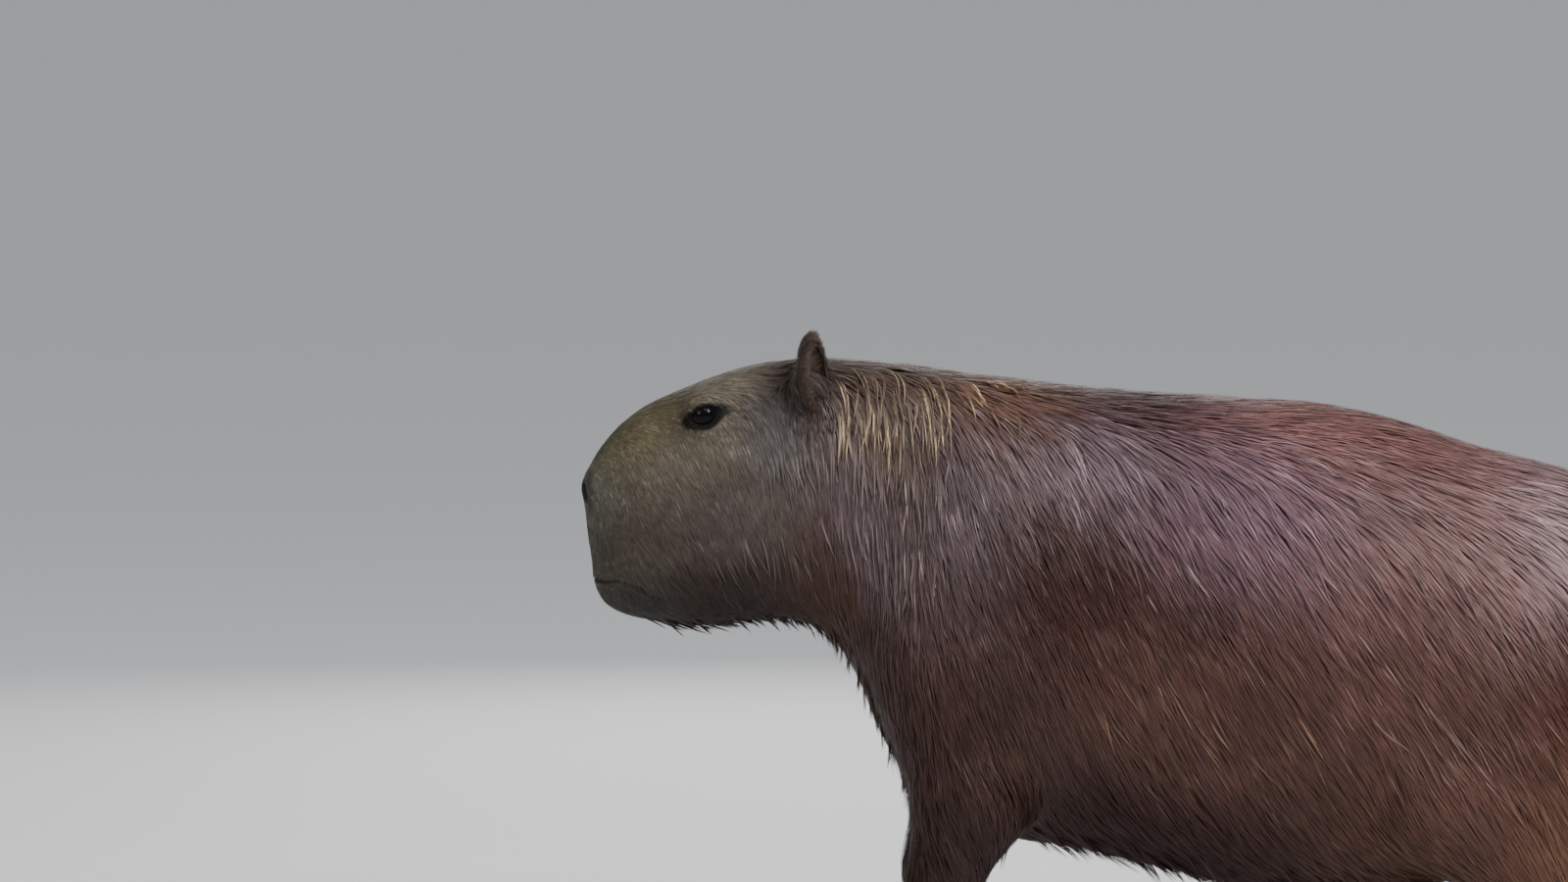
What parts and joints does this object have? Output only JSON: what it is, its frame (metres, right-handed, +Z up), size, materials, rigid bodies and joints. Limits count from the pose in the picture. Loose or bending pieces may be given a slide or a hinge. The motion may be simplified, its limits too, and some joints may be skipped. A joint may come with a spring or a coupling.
{
  "type": "capybara",
  "caption": "Life-size still model of a standing adult capybara, blunt-muzzled, short-legged and tailless, to set on a floor or plinth.",
  "frame": {"origin": "on the floor under the centre of the whole body's box", "axes": "+Z up, the head towards -X, the animal's left side towards -Y"},
  "size_m": [1.1128, 0.3614, 0.6342],
  "materials": {
    "coat": "coarse wet-looking reddish-brown hair",
    "face": "short olive-brown hair",
    "bare_skin": "dark bare skin with sparse hair",
    "eye": "glossy near-black",
    "claw": "dull dark horn"
  },
  "bodies": {
    "root": {"claw_front_left_1": "claw", "claw_front_left_2": "claw", "claw_front_left_3": "claw", "claw_front_left_4": "claw", "claw_front_right_1": "claw", "claw_front_right_2": "claw", "claw_front_right_3": "claw", "claw_front_right_4": "claw", "claw_hind_left_1": "claw", "claw_hind_left_2": "claw", "claw_hind_left_3": "claw", "claw_hind_right_1": "claw", "claw_hind_right_2": "claw", "claw_hind_right_3": "claw", "ear_left": "face", "ear_right": "face", "eye_left": "eye", "eye_right": "eye", "front_left_foot": "bare_skin", "front_left_lower": "coat", "front_left_upper": "coat", "front_right_foot": "bare_skin", "front_right_lower": "coat", "front_right_upper": "coat", "head": "face", "hind_left_foot": "bare_skin", "hind_left_lower": "coat", "hind_left_upper": "coat", "hind_right_foot": "bare_skin", "hind_right_lower": "coat", "hind_right_upper": "coat", "neck": "coat", "torso": "coat"}
  },
  "joints": []
}
